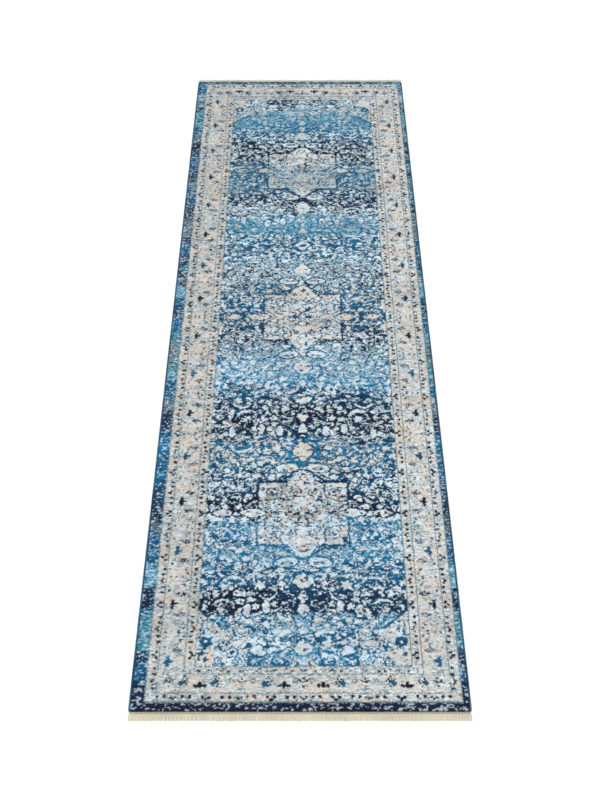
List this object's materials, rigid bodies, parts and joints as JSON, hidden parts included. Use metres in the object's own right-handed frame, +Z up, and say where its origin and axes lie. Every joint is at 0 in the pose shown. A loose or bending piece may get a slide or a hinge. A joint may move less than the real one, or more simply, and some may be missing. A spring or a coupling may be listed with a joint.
{
  "type": "runner rug",
  "caption": "Long low-pile woven runner rug with a bordered medallion pattern, serged sides and a short fringe at each end.",
  "frame": {"origin": "the middle of the underside, on the surface that the rug lies on", "axes": "+Z up through the thickness, +Y along the length from the near end to the far end, +X across the width to the right as seen from the near end"},
  "size_m": [0.8, 3.048, 0.008],
  "materials": {
    "pile_yarn": "cut pile, matt, blue, navy, grey and ivory yarns",
    "ground_yarn": "plain woven cotton and jute, matt",
    "back_coating": "thin latex over the back of the weave, matt",
    "serging_yarn": "overlocked blue yarn, slight sheen",
    "selvedge_cord": "twisted cotton cord, matt",
    "heading_tape": "twill cotton tape, matt",
    "sewing_thread": "spun polyester thread, slight sheen",
    "fringe_yarn": "loose cotton yarn, matt, cream"
  },
  "bodies": {
    "rug": {"back_coating": "back_coating", "ground_cloth": "ground_yarn", "pile": "pile_yarn", "serging_left": "serging_yarn", "serging_right": "serging_yarn", "selvedge_cord_left": "selvedge_cord", "selvedge_cord_right": "selvedge_cord", "corner_tack_near_left": "serging_yarn", "corner_tack_near_right": "serging_yarn", "corner_tack_far_left": "serging_yarn", "corner_tack_far_right": "serging_yarn", "heading_tape_near": "heading_tape", "heading_tape_far": "heading_tape", "top_stitch_near": "sewing_thread", "top_stitch_far": "sewing_thread", "under_stitch_near": "sewing_thread", "under_stitch_far": "sewing_thread"},
    "fringe_near": {"fringe_near": "fringe_yarn"},
    "fringe_far": {"fringe_far": "fringe_yarn"}
  },
  "joints": [
    {"name": "fringe_near_turn", "type": "hinge", "parent": "rug", "child": "fringe_near", "pos_m": [0, -1.5053, 0.0022], "axis": [-1, 0, 0], "range_deg": [0, 120]},
    {"name": "fringe_far_turn", "type": "hinge", "parent": "rug", "child": "fringe_far", "pos_m": [0, 1.5053, 0.0022], "axis": [1, 0, 0], "range_deg": [0, 120]}
  ]
}
